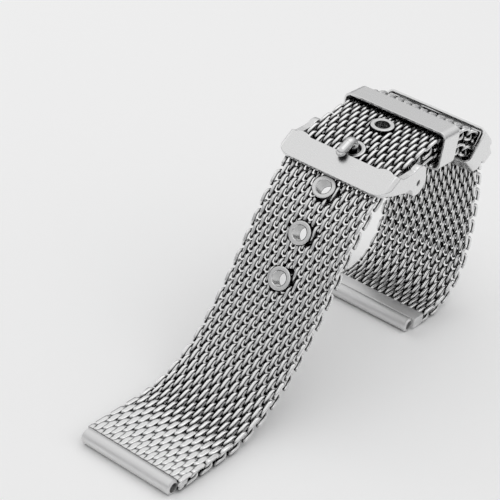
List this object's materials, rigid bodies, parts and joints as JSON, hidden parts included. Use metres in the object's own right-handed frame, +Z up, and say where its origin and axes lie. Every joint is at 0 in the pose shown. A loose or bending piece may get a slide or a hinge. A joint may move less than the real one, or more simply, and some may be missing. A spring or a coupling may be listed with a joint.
{
  "type": "milanese mesh bracelet",
  "caption": "Buckled bracelet of two woven steel mesh straps with riveted eyelets, a hinged pin buckle, two sliding keepers and a tubular lug end on each strap.",
  "frame": {"origin": "middle of the long strap's lug bore, on its axis", "axes": "+X across the strap, +Y from the long strap's lug end towards the buckle, +Z up; the lug tubes and the mesh beside them stand on the plane z = -1.5 mm"},
  "size_m": [0.0254, 0.0998, 0.0488],
  "materials": {
    "woven_steel": "bright drawn wire",
    "polished_steel": "polished",
    "satin_steel": "satin",
    "spring_steel": "spring wire"
  },
  "bodies": {
    "clasp": {"long_mesh_08": "woven_steel", "long_mesh_09": "woven_steel", "long_mesh_10": "woven_steel", "long_mesh_11": "woven_steel", "long_mesh_12": "woven_steel", "short_mesh_01": "woven_steel", "short_mesh_02": "woven_steel", "short_mesh_03": "woven_steel", "eyelet_3": "polished_steel", "eyelet_4": "polished_steel", "eyelet_5": "polished_steel", "eyelet_6": "polished_steel", "eyelet_7": "polished_steel", "tip_rim": "polished_steel", "hinge_tube_left": "satin_steel", "hinge_tube_right": "satin_steel", "spring_bar_barrel": "satin_steel", "spring_bar_spring": "spring_steel"},
    "long_link_7": {"long_mesh_07": "woven_steel", "eyelet_2": "polished_steel"},
    "long_link_6": {"long_mesh_06": "woven_steel", "eyelet_1": "polished_steel"},
    "long_link_5": {"long_mesh_05": "woven_steel"},
    "long_link_4": {"long_mesh_04": "woven_steel"},
    "long_link_3": {"long_mesh_03": "woven_steel"},
    "long_link_2": {"long_mesh_02": "woven_steel"},
    "long_link_1": {"long_mesh_01": "woven_steel", "long_lug_tube": "satin_steel"},
    "short_link_4": {"short_mesh_04": "woven_steel"},
    "short_link_5": {"short_mesh_05": "woven_steel"},
    "short_link_6": {"short_mesh_06": "woven_steel"},
    "short_link_7": {"short_mesh_07": "woven_steel", "short_lug_tube": "satin_steel"},
    "buckle": {"buckle_frame": "polished_steel"},
    "tongue": {"tongue": "polished_steel"},
    "pin_left": {"pin_left": "polished_steel"},
    "pin_right": {"pin_right": "polished_steel"},
    "front_keeper": {"front_keeper": "polished_steel"},
    "rear_keeper": {"rear_keeper": "polished_steel"}
  },
  "joints": [
    {"name": "long_flex_7", "type": "hinge", "parent": "clasp", "child": "long_link_7", "pos_m": [0, 0.04807, 0.03332], "axis": [1, 0, 0], "range_deg": [-8, 8]},
    {"name": "long_flex_6", "type": "hinge", "parent": "long_link_7", "child": "long_link_6", "pos_m": [0, 0.04395, 0.026], "axis": [1, 0, 0], "range_deg": [-8, 8]},
    {"name": "long_flex_5", "type": "hinge", "parent": "long_link_6", "child": "long_link_5", "pos_m": [0, 0.03881, 0.01685], "axis": [1, 0, 0], "range_deg": [-8, 8]},
    {"name": "long_flex_4", "type": "hinge", "parent": "long_link_5", "child": "long_link_4", "pos_m": [0, 0.03389, 0.01005], "axis": [1, 0, 0], "range_deg": [-8, 8]},
    {"name": "long_flex_3", "type": "hinge", "parent": "long_link_4", "child": "long_link_3", "pos_m": [0, 0.02784, 0.00427], "axis": [1, 0, 0], "range_deg": [-8, 8]},
    {"name": "long_flex_2", "type": "hinge", "parent": "long_link_3", "child": "long_link_2", "pos_m": [0, 0.02023, 0.0008], "axis": [1, 0, 0], "range_deg": [-8, 8]},
    {"name": "long_flex_1", "type": "hinge", "parent": "long_link_2", "child": "long_link_1", "pos_m": [0, 0.0119, 0], "axis": [1, 0, 0], "range_deg": [-8, 8]},
    {"name": "short_flex_4", "type": "hinge", "parent": "clasp", "child": "short_link_4", "pos_m": [0, 0.09184, 0.03374], "axis": [1, 0, 0], "range_deg": [-8, 8]},
    {"name": "short_flex_5", "type": "hinge", "parent": "short_link_4", "child": "short_link_5", "pos_m": [0, 0.09559, 0.02404], "axis": [1, 0, 0], "range_deg": [-8, 8]},
    {"name": "short_flex_6", "type": "hinge", "parent": "short_link_5", "child": "short_link_6", "pos_m": [0, 0.09684, 0.01363], "axis": [1, 0, 0], "range_deg": [-8, 8]},
    {"name": "short_flex_7", "type": "hinge", "parent": "short_link_6", "child": "short_link_7", "pos_m": [0, 0.09288, 0.00226], "axis": [1, 0, 0], "range_deg": [-8, 8]},
    {"name": "buckle_hinge", "type": "hinge", "parent": "clasp", "child": "buckle", "pos_m": [0, 0.06357, 0.04022], "axis": [1, 0, 0], "range_deg": [-4.5, 0]},
    {"name": "tongue_hinge", "type": "hinge", "parent": "buckle", "child": "tongue", "pos_m": [0, 0.06357, 0.04022], "axis": [1, 0, 0], "range_deg": [-3, 0]},
    {"name": "pin_left_slide", "type": "slide", "parent": "clasp", "child": "pin_left", "axis": [1, 0, 0], "range_m": [0, 0.0013], "stiffness_N_per_m": 250, "springref_m": -0.002, "deforming": ["spring_bar_spring"]},
    {"name": "pin_right_slide", "type": "slide", "parent": "clasp", "child": "pin_right", "axis": [-1, 0, 0], "range_m": [0, 0.0013], "stiffness_N_per_m": 250, "springref_m": -0.002, "deforming": ["spring_bar_spring"]},
    {"name": "front_keeper_slide", "type": "slide", "parent": "clasp", "child": "front_keeper", "axis": [0, 1, -0.0025], "range_m": [-0.001, 0.001]},
    {"name": "rear_keeper_slide", "type": "slide", "parent": "clasp", "child": "rear_keeper", "axis": [0, 0.7731, -0.6343], "range_m": [-0.001, 0.001]}
  ],
  "couplings": [
    {"joint": "long_flex_6", "follows": "long_flex_7", "ratio": 1},
    {"joint": "long_flex_5", "follows": "long_flex_7", "ratio": 1},
    {"joint": "long_flex_4", "follows": "long_flex_7", "ratio": 1},
    {"joint": "long_flex_3", "follows": "long_flex_7", "ratio": 1},
    {"joint": "long_flex_2", "follows": "long_flex_7", "ratio": 1},
    {"joint": "long_flex_1", "follows": "long_flex_7", "ratio": 1},
    {"joint": "short_flex_5", "follows": "short_flex_4", "ratio": 1},
    {"joint": "short_flex_6", "follows": "short_flex_4", "ratio": 1},
    {"joint": "short_flex_7", "follows": "short_flex_4", "ratio": 1}
  ]
}
